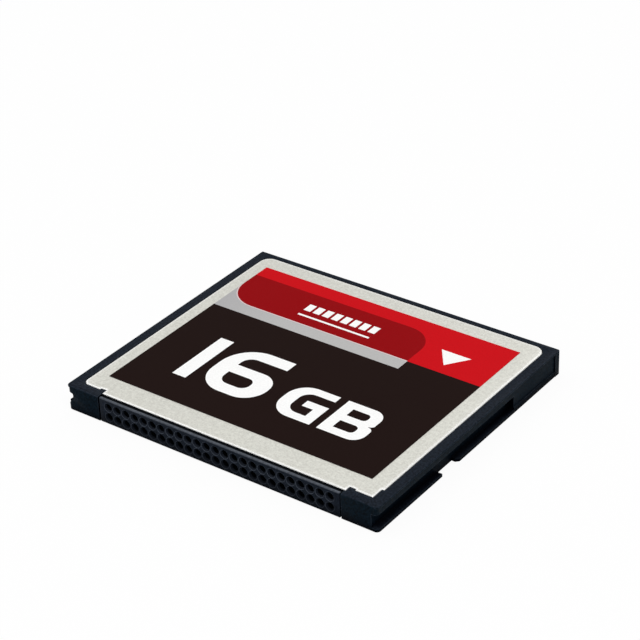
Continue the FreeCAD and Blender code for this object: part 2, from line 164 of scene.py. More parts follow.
class SharedEffects:
    """Shader node groups that several finishes use, each built once."""

    def __init__(self) -> None:
        """Build every group."""
        self.grain = self.make_grain()
        self.edge = self.make_edge()
        self.smudge = self.make_smudge()
        self.flake = self.make_flake()
        self.painted_top_light = self.make_painted_top_light()
        self.hollow = self.make_painted_hollow_shade()
        self.foot = self.make_foot()

    @staticmethod
    def start(name: str, inputs: dict[str, float],
              outputs: list[str]) -> tuple[NodeSheet, Any, Any]:
        """Make an empty group with float sockets.

        Args:
            name: The group's name.
            inputs: Default value by input name.
            outputs: Names of the outputs.

        Returns:
            The group's sheet, the sockets that it is given and those that it has to feed.
        """
        tree = bpy.data.node_groups.new(name, "ShaderNodeTree")
        for label, value in inputs.items():
            socket = tree.interface.new_socket(label, in_out="INPUT", socket_type="NodeSocketFloat")
            socket.default_value = value
        for label in outputs:
            tree.interface.new_socket(label, in_out="OUTPUT", socket_type="NodeSocketFloat")
        sheet = NodeSheet(tree)
        return sheet, sheet.add("NodeGroupInput").outputs, sheet.add("NodeGroupOutput").inputs

    def make_grain(self) -> bpy.types.NodeTree:
        """Spark-eroded grain of a moulded face.

        Returns:
            The group, with a Height for relief and a Tone for colour.
        """
        pit_scale, pit_share = 0.35, 0.5
        tone_start, tone_end = 0.35, 0.65
        sheet, given, made = self.start("moulded_grain", {"Scale": 9000.0}, ["Height", "Tone"])
        fine = sheet.noise(given["Scale"], 3.0, Roughness=0.6)
        coarse_scale = sheet.maths("MULTIPLY", given["Scale"], pit_scale)
        pits = sheet.add("ShaderNodeTexVoronoi", {"Vector": sheet.place(), "Scale": coarse_scale},
                         feature="SMOOTH_F1").outputs["Distance"]
        pit_height = sheet.maths("MULTIPLY", pits, pit_share)
        sheet.feed(made["Height"], sheet.maths("ADD", fine, pit_height))
        sheet.feed(made["Tone"], sheet.spread(fine, 0.0, 1.0, tone_start, tone_end))
        return sheet.tree

    def make_edge(self) -> bpy.types.NodeTree:
        """Wear and painted highlight on edges, broken up by noise.

        Returns:
            The group, with a Mask that is high on corners; its patches never fall below Least.
        """
        turn_start, turn_end = 0.01, 0.16
        patch_start, patch_end = 0.38, 0.62
        sheet, given, made = self.start(
            "edge_wear_and_highlight", {"Radius": 0.1 * MM, "Breakup": 900.0, "Least": 0.35}, ["Mask"])
        rounded = sheet.add("ShaderNodeBevel", {"Radius": given["Radius"]}, samples=4)
        flat = sheet.add("ShaderNodeNewGeometry").outputs["Normal"]
        facing = sheet.add("ShaderNodeVectorMath", {0: rounded.outputs["Normal"], 1: flat},
                           operation="DOT_PRODUCT").outputs["Value"]
        edge = sheet.spread(sheet.maths("SUBTRACT", 1.0, facing), 0.0, 1.0, turn_start, turn_end)
        noise = sheet.noise(given["Breakup"], 4.0)
        patches = sheet.spread(noise, given["Least"], 1.0, patch_start, patch_end)
        sheet.feed(made["Mask"], sheet.maths("MULTIPLY", edge, patches))
        return sheet.tree

    def make_smudge(self) -> bpy.types.NodeTree:
        """Handling marks.

        Returns:
            The group, with a Value that drifts between Low and High over the surface.
        """
        drift_start, drift_end = 0.32, 0.68
        sheet, given, made = self.start(
            "smudge", {"Scale": 160.0, "Low": 0.4, "High": 0.5}, ["Value"])
        noise = sheet.noise(given["Scale"], 4.0, Distortion=0.6)
        sheet.feed(made["Value"], sheet.spread(noise, given["Low"], given["High"],
                                               drift_start, drift_end))
        return sheet.tree

    def make_flake(self) -> bpy.types.NodeTree:
        """Mottle of a blasted metal face.

        Returns:
            The group, with a Tone for colour and a Height for relief.
        """
        fine_share = 2.6
        tone_start, tone_end = 0.72, 1.28
        sheet, given, made = self.start("blasted_flake", {"Scale": 3200.0}, ["Tone", "Height"])
        mottle = sheet.noise(given["Scale"], 2.0, Roughness=0.7)
        fine = sheet.noise(sheet.maths("MULTIPLY", given["Scale"], fine_share), 1.0)
        mixed = sheet.maths("ADD", mottle, fine)
        sheet.feed(made["Tone"], sheet.spread(mixed, 0.0, 1.0, tone_start, tone_end))
        sheet.feed(made["Height"], fine)
        return sheet.tree

    def make_painted_top_light(self) -> bpy.types.NodeTree:
        """Painted light: faces that look up are painted lighter, as where the lamps fall on them.

        Returns:
            The group, with a Mask from Low to High of the slope; Rounding is the radius over
            which the painted light fades at an edge, so rounded edges get painted shade.
        """
        sheet, given, made = self.start(
            "upward_painted_light", {"Low": 0.35, "High": 0.95, "Rounding": 0.1 * MM}, ["Mask"])
        facing = sheet.add("ShaderNodeBevel", {"Radius": given["Rounding"]}, samples=8)
        rise = sheet.add("ShaderNodeSeparateXYZ", {0: facing.outputs["Normal"]}).outputs["Z"]
        sheet.feed(made["Mask"], sheet.spread(rise, 0.0, 1.0, given["Low"], given["High"]))
        return sheet.tree

    def make_painted_hollow_shade(self) -> bpy.types.NodeTree:
        """Painted shade in hollows, where less light reaches.

        Returns:
            The group, with a Mask that is 1 deep inside a hollow and 0 on an open face.
        """
        full_openness, clear_openness = 0.55, 0.85
        sheet, given, made = self.start("hollow_painted_shade", {"Reach": 2.0 * MM}, ["Mask"])
        # The less open a point is, the darker it is painted: painted shade.
        openness = sheet.add("ShaderNodeAmbientOcclusion", {"Distance": given["Reach"]},
                             samples=8).outputs["AO"]
        sheet.feed(made["Mask"], sheet.spread(openness, 1.0, 0.0, full_openness, clear_openness))
        return sheet.tree

    def make_foot(self) -> bpy.types.NodeTree:
        """Shade near the underside.

        Returns:
            The group, with a Mask that falls from 1 at Low to 0 at High above the floor.
        """
        sheet, given, made = self.start("foot_shade", {"Low": 0.4 * MM, "High": 1.6 * MM}, ["Mask"])
        height = sheet.add("ShaderNodeSeparateXYZ", {0: sheet.place()}).outputs["Z"]
        sheet.feed(made["Mask"], sheet.spread(height, 1.0, 0.0, given["Low"], given["High"]))
        return sheet.tree


class Material:
    """One material under construction: its sheet, its shader and the shared effects."""

    def __init__(self, name: str, effects: SharedEffects) -> None:
        """Start a material with an empty tree.

        Args:
            name: The material's name.
            effects: The shared node groups.
        """
        self.data = bpy.data.materials.new(name)
        self.data.use_nodes = True
        self.data.node_tree.nodes.clear()
        self.sheet = NodeSheet(self.data.node_tree)
        self.effects = effects
        self.shader = self.sheet.add("ShaderNodeBsdfPrincipled")
        self.sheet.add("ShaderNodeOutputMaterial", {"Surface": self.shader.outputs["BSDF"]})

    def effect(self, tree: bpy.types.NodeTree, **values: float) -> Any:
        """Place a shared effect.

        Args:
            tree: The effect's group.
            values: Values of its inputs.

        Returns:
            The outputs of the new node, by name.
        """
        node = self.sheet.add("ShaderNodeGroup", node_tree=tree)
        for name, value in values.items():
            node.inputs[name].default_value = value
        return node.outputs

    def smudged(self, scale: float, low: float, high: float) -> bpy.types.NodeSocket:
        """Roughness that drifts between low and high over the surface."""
        return self.effect(self.effects.smudge, Scale=scale, Low=low, High=high)["Value"]

    def set(self, **values: Any) -> None:
        """Set shader inputs.

        Args:
            values: Values or source sockets by input name, with underscores for spaces.
        """
        for name, value in values.items():
            self.sheet.feed(self.shader.inputs[name.replace("_", " ")], value)

    def relief(self, height: Any, depth: float, strength: float = 1.0,
               rounding: float = 0.0) -> None:
        """Give the surface a bump.

        Args:
            height: Socket with the height pattern.
            depth: Height in metres that a value of one stands for.
            strength: Share of the relief that shows.
            rounding: Radius to which edges are shaded round, or 0 for none.
        """
        inputs = {"Height": height, "Distance": depth, "Strength": strength}
        if rounding > 0:
            soft = self.sheet.add("ShaderNodeBevel", {"Radius": rounding}, samples=8)
            inputs["Normal"] = soft.outputs["Normal"]
        self.set(Normal=self.sheet.add("ShaderNodeBump", inputs).outputs["Normal"])


@dataclass(frozen=True)
class Finish:
    """A finish, by its material's name and its main colour."""

    name: str
    colour: Colour

    def build(self, effects: SharedEffects) -> bpy.types.Material:
        """Make the material.

        Args:
            effects: The shared node groups.

        Returns:
            The new material.
        """
        made = Material(self.name, effects)
        self.dress(made)
        return made.data

    def dress(self, made: Material) -> None:
        """Feed the shader of a new material."""
        made.set(Base_Color=self.colour)


@dataclass(frozen=True)
class MouldedPlastic(Finish):
    """Grained moulded plastic, painted lighter on faces that look up as painted light, with lighter
    edges that are partly rubbed and partly painted highlight.

    A share of hollow or foot above 0 paints shade into hollows or near the underside.
    """

    painted_top_light_colour: Colour
    edge_colour: Colour
    shade_colour: Colour = (0.0, 0.0, 0.001, 1.0)
    rough_low: float = 0.42
    rough_high: float = 0.56
    smudge_scale: float = 190.0
    grain_scale: float = 9000.0
    grain_depth: float = 0.012 * MM
    grain_contrast: float = 1.7
    grain_share: float = 0.5
    edge_radius: float = 0.12 * MM
    edge_share: float = 0.5
    edge_breakup: float = 700.0
    edge_polish: float = 0.12
    specular: float = 0.02
    rounding: float = 0.0
    painted_top_light_rounding: float = 0.1 * MM
    painted_hollow_shade_share: float = 0.0
    foot_share: float = 0.0

    def dress(self, made: Material) -> None:
        """Feed the shader.

        Args:
            made: The new material.
        """
        sheet = made.sheet
        grain = made.effect(made.effects.grain, Scale=self.grain_scale)
        wear_and_highlight = made.effect(made.effects.edge, Radius=self.edge_radius, Breakup=self.edge_breakup)
        # Faces that look up get the lighter colour: painted light.
        painted_top_light = made.effect(made.effects.painted_top_light, Rounding=self.painted_top_light_rounding)
        base = sheet.blend(painted_top_light["Mask"], self.colour, self.painted_top_light_colour)
        speckle = sheet.spread(grain["Tone"], 0.0, self.grain_share)
        body = sheet.blend(speckle, base, sheet.brighter(base, self.grain_contrast))
        # Edges take the edge colour, partly as wear and partly as painted highlight.
        worn_and_lit = sheet.maths("MULTIPLY", wear_and_highlight["Mask"], self.edge_share)
        colour = sheet.blend(worn_and_lit, body, self.edge_colour)
        # Hollows and the part near the underside are painted darker: painted shade.
        shades = ((made.effects.hollow, self.painted_hollow_shade_share), (made.effects.foot, self.foot_share))
        for tree, share in shades:
            if share > 0:
                shade = sheet.maths("MULTIPLY", made.effect(tree)["Mask"], share)
                colour = sheet.blend(shade, colour, self.shade_colour)
        polish = sheet.maths("MULTIPLY", worn_and_lit, self.edge_polish)
        roughness = made.smudged(self.smudge_scale, self.rough_low, self.rough_high)
        made.set(Base_Color=colour, Roughness=sheet.maths("SUBTRACT", roughness, polish),
                 Specular_IOR_Level=self.specular)
        made.relief(grain["Height"], self.grain_depth, rounding=self.rounding)


@dataclass(frozen=True)
class SheetMetal(Finish):
    """Satin sheet metal with a fine mottle and brighter edges, partly wear and partly painted
    highlight.
    """

    dark_colour: Colour
    edge_colour: Colour
    metallic: float = 1.0
    rough_low: float = 0.34
    rough_high: float = 0.46
    smudge_scale: float = 120.0
    flake_scale: float = 2400.0
    flake_depth: float = 0.004 * MM
    edge_share: float = 0.9
    edge_radius: float = 0.12 * MM
    edge_least: float = 0.35
    edge_breakup: float = 500.0
    edge_polish: float = 0.1
    rounding: float = 0.0

    def dress(self, made: Material) -> None:
        """Feed the shader.

        Args:
            made: The new material.
        """
        sheet = made.sheet
        flake = made.effect(made.effects.flake, Scale=self.flake_scale)
        wear_and_highlight = made.effect(made.effects.edge, Radius=self.edge_radius, Breakup=self.edge_breakup,
                           Least=self.edge_least)
        body = sheet.blend(flake["Tone"], self.dark_colour, self.colour)
        worn_and_lit = sheet.maths("MULTIPLY", wear_and_highlight["Mask"], self.edge_share)
        polish = sheet.maths("MULTIPLY", worn_and_lit, self.edge_polish)
        roughness = made.smudged(self.smudge_scale, self.rough_low, self.rough_high)
        made.set(Base_Color=sheet.blend(worn_and_lit, body, self.edge_colour),
                 Roughness=sheet.maths("SUBTRACT", roughness, polish), Metallic=self.metallic)
        made.relief(flake["Height"], self.flake_depth, rounding=self.rounding)


@dataclass(frozen=True)
class PrintedInk(Finish):
    """One colour of the label's print, under a thin satin varnish.

    With a second colour, the ink fades from the first to it across the card.
    """

    second_colour: Colour | None = None
    fade_from: float = 0.0
    fade_to: float = 1.0
    rough_low: float = 0.38
    rough_high: float = 0.47
    smudge_scale: float = 140.0
    grain_scale: float = 5200.0
    grain_depth: float = 0.002 * MM
    grain_strength: float = 0.6
    grain_tone: float = 0.93
    specular: float = 0.005

    def dress(self, made: Material) -> None:
        """Feed the shader.

        Args:
            made: The new material.
        """
        sheet = made.sheet
        grain = made.effect(made.effects.grain, Scale=self.grain_scale)
        ink: Any = self.colour
        if self.second_colour is not None:
            across = sheet.add("ShaderNodeSeparateXYZ", {0: sheet.place()}).outputs["X"]
            fade = sheet.spread(across, 0.0, 1.0, self.fade_from, self.fade_to)
            ink = sheet.blend(fade, self.colour, self.second_colour)
        made.set(Base_Color=sheet.blend(grain["Tone"], sheet.brighter(ink, self.grain_tone), ink),
                 Roughness=made.smudged(self.smudge_scale, self.rough_low, self.rough_high),
                 Specular_IOR_Level=self.specular)
        made.relief(grain["Height"], self.grain_depth, self.grain_strength)


@dataclass(frozen=True)
class Laminate(Finish):
    """Glass-cloth board under solder mask, through which a plain weave shows."""

    weave_colour: Colour
    weave_pitch: float = 0.45 * MM
    weave_depth: float = 0.006 * MM
    rough_low: float = 0.3
    rough_high: float = 0.42
    smudge_scale: float = 260.0

    def dress(self, made: Material) -> None:
        """Feed the shader.

        Args:
            made: The new material.
        """
        sheet = made.sheet
        inputs = {"Vector": sheet.place(), "Scale": 1.0 / (2 * math.pi * self.weave_pitch)}
        warp, weft = (sheet.add("ShaderNodeTexWave", inputs, bands_direction=axis).outputs["Fac"]
                      for axis in ("X", "Y"))
        weave = sheet.maths("MULTIPLY", warp, weft)
        made.set(Base_Color=sheet.blend(weave, self.colour, self.weave_colour),
                 Roughness=made.smudged(self.smudge_scale, self.rough_low, self.rough_high))
        made.relief(weave, self.weave_depth)


@dataclass(frozen=True)
class ThinFilm(Finish):
    """Amber or clear film with a faint waviness."""

    pale_gain: float = 1.25
    rough_low: float = 0.25
    rough_high: float = 0.37
    smudge_scale: float = 220.0
    wave_scale: float = 700.0
    wave_depth: float = 0.008 * MM

    def dress(self, made: Material) -> None:
        """Feed the shader.

        Args:
            made: The new material.
        """
        wave = made.effect(made.effects.flake, Scale=self.wave_scale)
        paler = (*(min(1.0, channel * self.pale_gain) for channel in self.colour[:3]), 1.0)
        made.set(Base_Color=made.sheet.blend(wave["Tone"], self.colour, paler),
                 Roughness=made.smudged(self.smudge_scale, self.rough_low, self.rough_high))
        made.relief(wave["Height"], self.wave_depth)


class Ink(Enum):
    """The label's printed fields, by the number of their material on the mesh."""

    BLACK = 0
    RED = 1
    DARK_RED = 2
    SILVER = 3
    KEYLINE = 4
    WHITE = 5


def rounded_outline(corners: list[Corner], steps: int = 10) -> list[Point]:
    """Points of a polygon whose corners are rounded.

    Args:
        corners: Corners as (x, y, radius).
        steps: Number of pieces in each rounded corner.

    Returns:
        Points along the outline.
    """
    points: list[Point] = []
    for index, (x, y, radius) in enumerate(corners):
        here = Vector((x, y))
        before = (Vector(corners[index - 1][:2]) - here).normalized()
        after = (Vector(corners[(index + 1) % len(corners)][:2]) - here).normalized()
        if radius <= 0:
            points.append((here.x, here.y))
            continue
        half = before.angle(after) / 2
        centre = here + (before + after).normalized() * (radius / math.sin(half))
        start = here + before * (radius / math.tan(half)) - centre
        end = here + after * (radius / math.tan(half)) - centre
        sweep = start.angle_signed(end)
        for step in range(steps + 1):
            turn = Matrix.Rotation(-sweep * step / steps, 2)
            spot = centre + turn @ start
            points.append((spot.x, spot.y))
    return points


def inside(point: Point, outline: list[Point]) -> bool:
    """Whether a point lies inside an outline, by the even-odd rule.

    Args:
        point: The point.
        outline: The outline's points in order.

    Returns:
        True where it lies inside.
    """
    x, y = point
    odd = False
    for index, (x1, y1) in enumerate(outline):
        x0, y0 = outline[index - 1]
        if (y0 > y) != (y1 > y) and x < x0 + (x1 - x0) * (y - y0) / (y1 - y0):
            odd = not odd
    return odd


def finished(work: bmesh.types.BMesh, name: str, replaced: str,
             materials: list[bpy.types.Material]) -> bpy.types.Object:
    """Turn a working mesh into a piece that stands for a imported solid.

    Args:
        work: The mesh under construction, which is freed.
        name: The piece's name.
        replaced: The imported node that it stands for.
        materials: The mesh's materials in order.

    Returns:
        The new object, riding on the card's body.
    """
    mesh = bpy.data.meshes.new(name)
    work.to_mesh(mesh)
    work.free()
    piece = bpy.data.objects.new(name, mesh)
    bpy.context.scene.collection.objects.link(piece)
    for material in materials:
        mesh.materials.append(material)
    declare(piece, replaced)
    return piece


def declare(piece: bpy.types.Object, replaced: str) -> None:
    """Name what a piece belongs to.

    Args:
        piece: The piece.
        replaced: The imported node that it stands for.
    """
    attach(piece, ROOT)
    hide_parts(replaced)


def merged_copy(node: str) -> bmesh.types.BMesh:
    """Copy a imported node, with its corners joined and its flat faces whole.

    Args:
        node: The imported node's name.

    Returns:
        The copy as a working mesh.
    """
    flat_angle = math.radians(0.4)
    work = bmesh.new()
    work.from_mesh(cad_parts[node].data)
    bmesh.ops.remove_doubles(work, verts=work.verts, dist=MERGE_DISTANCE)
    bmesh.ops.dissolve_limit(work, angle_limit=flat_angle, verts=work.verts, edges=work.edges)
    return work


def soften(piece: bpy.types.Object, width: float, segments: int = 2) -> None:
    """Round a piece's edges and keep the result as its plain mesh.

    Args:
        piece: The piece whose edges are rounded.
        width: Width of the rounding.
        segments: Number of faces across it.
    """
    least_turn = math.radians(25)
    bevel = piece.modifiers.new("edges", "BEVEL")
    bevel.width = width
    bevel.segments = segments
    bevel.limit_method = "ANGLE"
    bevel.angle_limit = least_turn
    bevel.harden_normals = True
    piece.data.shade_smooth()
    graph = bpy.context.evaluated_depsgraph_get()
    result = bpy.data.meshes.new_from_object(piece.evaluated_get(graph))
    result.name = piece.name
    piece.modifiers.clear()
    piece.data = result


@dataclass
class MouldedFrame:
    """The moulded frame, with softened edges."""

    edge_rounding: float = 0.05 * MM
    # Painted light on upward faces, painted shade in hollows; edges lighter, partly wear, partly
    # painted highlight.
    finish: MouldedPlastic = MouldedPlastic(
        "frame_blue_black", paint(3, 9, 15), paint(13, 17, 23), paint(66, 75, 88),
        rounding=0.08 * MM, painted_top_light_rounding=0.25 * MM, edge_share=0.85, grain_scale=4000.0,
        grain_contrast=6.5, painted_hollow_shade_share=0.97)

    def build(self, effects: SharedEffects) -> bpy.types.Object:
        """Make the frame's piece.

        Args:
            effects: The shared node groups.

        Returns:
            The piece.
        """
        piece = finished(merged_copy("frame"), "frame_moulding", "frame",
                         [self.finish.build(effects)])
        soften(piece, self.edge_rounding)
        return piece


@dataclass
class SteelCovers:
    """The two drawn covers, of one satin sheet metal."""

    edge_rounding: float = 0.034 * MM
    # The covers' edges are painted white over a wide band with no breakup: a painted highlight.
    finish: SheetMetal = SheetMetal(
        "cover_satin_steel", paint(213, 213, 205), paint(191, 190, 182), paint(255, 255, 255),
        edge_radius=0.45 * MM, edge_least=1.0, edge_share=1.0, rounding=0.25 * MM,
        metallic=0.45, rough_low=0.46, rough_high=0.56)

    def build(self, effects: SharedEffects) -> list[bpy.types.Object]:
        """Make both covers' pieces.

        Args:
            effects: The shared node groups.

        Returns:
            The upper and the lower cover.
        """
        material = self.finish.build(effects)
        pieces = []
        for node in ("top_cover", "bottom_cover"):
            piece = finished(merged_copy(node), node + "_sheet", node, [material])
            soften(piece, self.edge_rounding)
            pieces.append(piece)
        return pieces


@dataclass
class PrintedLabel:
    """The label's print: fields of colour, a plain capacity figure and plain marks.

    Places are in millimetres from the label's front left corner.
    """

    band_bottom: float = 19.02
    band_top: float = 20.88
    band_end: float = 26.60
    silver_rise: float = 25.3
    pill_bottom: float = 20.98
    pill_top: float = 27.26
    pill_right: float = 26.55
    pill_left_radius: float = 4.0
    pill_right_radius: float = 3.6
    keyline: float = 0.13
    block_left: float = 9.86
    block_bottom: float = 23.68
    block_width: float = 0.95
    block_height: float = 1.45
    block_pitch: float = 1.32
    block_count: int = 8
    rule_bottom: float = 22.48
    rule_height: float = 0.32
    arrow_middle: float = 30.5
    arrow_tip: float = 22.45
    arrow_height: float = 2.7
    arrow_half_width: float = 2.0
    glyph_place: Point = (5.60, 4.44)
    inks: dict[Ink, PrintedInk] = field(default_factory=lambda: {
        Ink.BLACK: PrintedInk("print_black", paint(33, 22, 20)),
        Ink.RED: PrintedInk("print_red", paint(205, 21, 29)),
        Ink.DARK_RED: PrintedInk("print_dark_red", paint(147, 15, 20)),
        Ink.SILVER: PrintedInk("print_silver", paint(178, 177, 178), paint(188, 187, 186),
                               fade_from=-18.5 * MM, fade_to=-9.0 * MM),
        Ink.KEYLINE: PrintedInk("print_keyline", paint(226, 205, 206)),
        Ink.WHITE: PrintedInk("print_white", paint(255, 255, 254)),
    })

    def pill(self, grow: float = 0.0) -> list[Point]:
        """Outline of the dark red field.

        Args:
            grow: How far it is moved outwards, to the left and below.

        Returns:
            The outline's points.
        """
        return rounded_outline([
            (-grow, self.pill_bottom - grow, self.pill_left_radius + grow),
            (self.pill_right, self.pill_bottom - grow, 0.0),
            (self.pill_right, self.pill_top, self.pill_right_radius),
            (-grow, self.pill_top, 0.0),
        ])

    def figures(self) -> tuple[list[list[Point]], list[list[Point]]]:
        """Outlines and counters of the capacity figure, drawn as rounded polygons.

        Returns:
            The letters' outer outlines and the counters inside them.
        """
        one = [(0.0, 0.0, 0.0), (1.9, 0.0, 0.0), (1.9, 8.95, 0.0), (0.0, 8.95, 0.0)]
        six = [(10.8, 9.1, 0.0), (3.1, 9.1, 4.2), (3.1, -0.1, 3.5), (11.4, -0.1, 2.9),
               (11.4, 5.4, 2.3), (5.25, 5.4, 0.0), (5.25, 7.35, 1.4), (10.8, 7.35, 0.0)]
        six_counter = [(5.25, 3.75, 0.0), (5.25, 1.6, 1.3), (9.1, 1.6, 1.05), (9.1, 3.75, 0.9)]
        gee = [(19.1, 6.25, 0.0), (13.5, 6.25, 2.6), (13.5, 0.0, 2.6), (19.25, 0.0, 0.0),
               (19.25, 3.75, 0.0), (16.35, 3.75, 0.0), (16.35, 2.6, 0.0), (17.9, 2.6, 0.0),
               (17.9, 1.15, 0.0), (15.15, 1.15, 1.4), (15.15, 5.1, 1.4), (19.1, 5.1, 0.0)]
        bee = [(20.2, 0.0, 0.0), (25.7, 0.0, 1.6), (25.7, 2.95, 0.7), (24.85, 3.1, 0.0),
               (25.5, 3.3, 0.5), (25.5, 6.25, 1.6), (20.2, 6.25, 0.0)]
        bee_upper = [(21.6, 3.75, 0.0), (24.1, 3.75, 0.55), (24.1, 5.1, 0.55), (21.6, 5.1, 0.0)]
        bee_lower = [(21.6, 1.15, 0.0), (24.2, 1.15, 0.6), (24.2, 2.6, 0.6), (21.6, 2.6, 0.0)]
        shift_x, shift_y = self.glyph_place
        outers, counters = [
            [rounded_outline([(x + shift_x, y + shift_y, radius) for x, y, radius in shape])
             for shape in shapes]
            for shapes in ((one, six, gee, bee), (six_counter, bee_upper, bee_lower))]
        return outers, counters

    def marks(self) -> list[list[Point]]:
        """Plain marks: a row of blocks with a rule below it, and an insertion arrow.

        Returns:
            The outline of each mark.
        """
        shapes = []
        for index in range(self.block_count):
            left = self.block_left + index * self.block_pitch
            shapes.append(self.bar(left, self.block_bottom, self.block_width, self.block_height))
        length = (self.block_count - 1) * self.block_pitch + self.block_width
        shapes.append(self.bar(self.block_left, self.rule_bottom, length, self.rule_height))
        back = self.arrow_tip + self.arrow_height
        shapes.append([(self.arrow_middle, self.arrow_tip),
                       (self.arrow_middle + self.arrow_half_width, back),
                       (self.arrow_middle - self.arrow_half_width, back)])
        return shapes

    @staticmethod
    def bar(left: float, bottom: float, width: float, height: float) -> list[Point]:
        """Outline of an upright rectangle."""
        return [(left, bottom), (left + width, bottom), (left + width, bottom + height),
                (left, bottom + height)]

    def fields(self) -> dict[Ink, list[Point]]:
        """Outlines of the silver field, the dark red field and the pale line round it.

        Returns:
            Each field's outline, which may reach under the field above it.
        """
        under_pill = self.pill_left_radius + self.keyline
        silver = [(0.0, self.band_bottom), (self.band_end, self.band_bottom),
                  (self.band_end, self.pill_bottom), (under_pill, self.pill_bottom),
                  (under_pill, self.silver_rise), (0.0, self.silver_rise)]
        halo = [(max(x, 0.0), y) for x, y in self.pill(self.keyline)]
        return {Ink.SILVER: silver, Ink.DARK_RED: self.pill(), Ink.KEYLINE: halo}

    def cut(self, width: float, depth: float,
            loops: list[list[Point]]) -> tuple[list[Vector], list[list[int]]]:
        """Cut the label along loops and along the line between red and black.

        Args:
            width: The label's width.
            depth: Its depth.
            loops: Outlines of the fields, the letters and the marks.

        Returns:
            The points of the cut sheet and each face's points, by their numbers.
        """
        joined_below = 1e-5
        points: list[Vector] = []
        edges: list[tuple[int, int]] = []
        for loop in (self.bar(0.0, 0.0, width, depth), *loops):
            start = len(points)
            points.extend(Vector(point) for point in loop)
            edges.extend((start + i, start + (i + 1) % len(loop)) for i in range(len(loop)))
        edges.append((len(points), len(points) + 1))
        points.extend((Vector((self.band_end, self.band_top)), Vector((width, self.band_top))))
        spots, _, faces, _, _, _ = delaunay_2d_cdt(points, edges, [], 0, joined_below)
        return spots, faces

    def ink_at(self, point: Point, fields: dict[Ink, list[Point]], white: list[list[Point]],
               counters: list[list[Point]]) -> Ink:
        """Tell which ink is printed at a point of the label.

        Args:
            point: The point.
            fields: The fields' outlines.
            white: Outlines of the letters and the marks.
            counters: Outlines of the openings in the letters.

        Returns:
            The ink.
        """
        if (any(inside(point, shape) for shape in white)
                and not any(inside(point, shape) for shape in counters)):
            return Ink.WHITE
        if inside(point, fields[Ink.DARK_RED]):
            return Ink.DARK_RED
        if inside(point, fields[Ink.SILVER]):
            return Ink.KEYLINE if inside(point, fields[Ink.KEYLINE]) else Ink.SILVER
        return Ink.RED if point[1] > self.band_top else Ink.BLACK

    def build(self, effects: SharedEffects) -> bpy.types.Object:
        """Cut the label's face into its printed fields and give it its thickness.

        Args:
            effects: The shared node groups.

        Returns:
            The label's piece.
        """
        low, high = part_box("top_label")
        fields = self.fields()
        outers, counters = self.figures()
        marks = self.marks()
        spots, faces = self.cut((high.x - low.x) / MM, (high.y - low.y) / MM,
                                [*fields.values(), *outers, *counters, *marks])
        work = bmesh.new()
        upper = [work.verts.new((low.x + spot.x * MM, low.y + spot.y * MM, high.z))
                 for spot in spots]
        for face in faces:
            centre = sum((spots[i] for i in face), Vector((0.0, 0.0))) / len(face)
            made = work.faces.new([upper[i] for i in face])
            ink = self.ink_at((centre.x, centre.y), fields, outers + marks, counters)
            made.material_index = ink.value
        rim = [edge for edge in work.edges if edge.is_boundary]
        wall = bmesh.ops.extrude_edge_only(work, edges=rim)
        for item in wall["geom"]:
            if isinstance(item, bmesh.types.BMVert):
                item.co.z = low.z
        bmesh.ops.holes_fill(work, edges=[edge for edge in work.edges if edge.is_boundary])
        bmesh.ops.recalc_face_normals(work, faces=work.faces)
        materials = [self.inks[ink].build(effects) for ink in Ink]
        return finished(work, "label_print", "top_label", materials)


class Zone(Enum):
    """The connector's zones, by the number of their material on the mesh."""

    FACE = 0
    # Mouth, lip and bore are one plastic: mouth and bore painted darker as painted shade, lip
    # lighter as painted highlight.
    MOUTH = 1
    LIP = 2
    BORE = 3


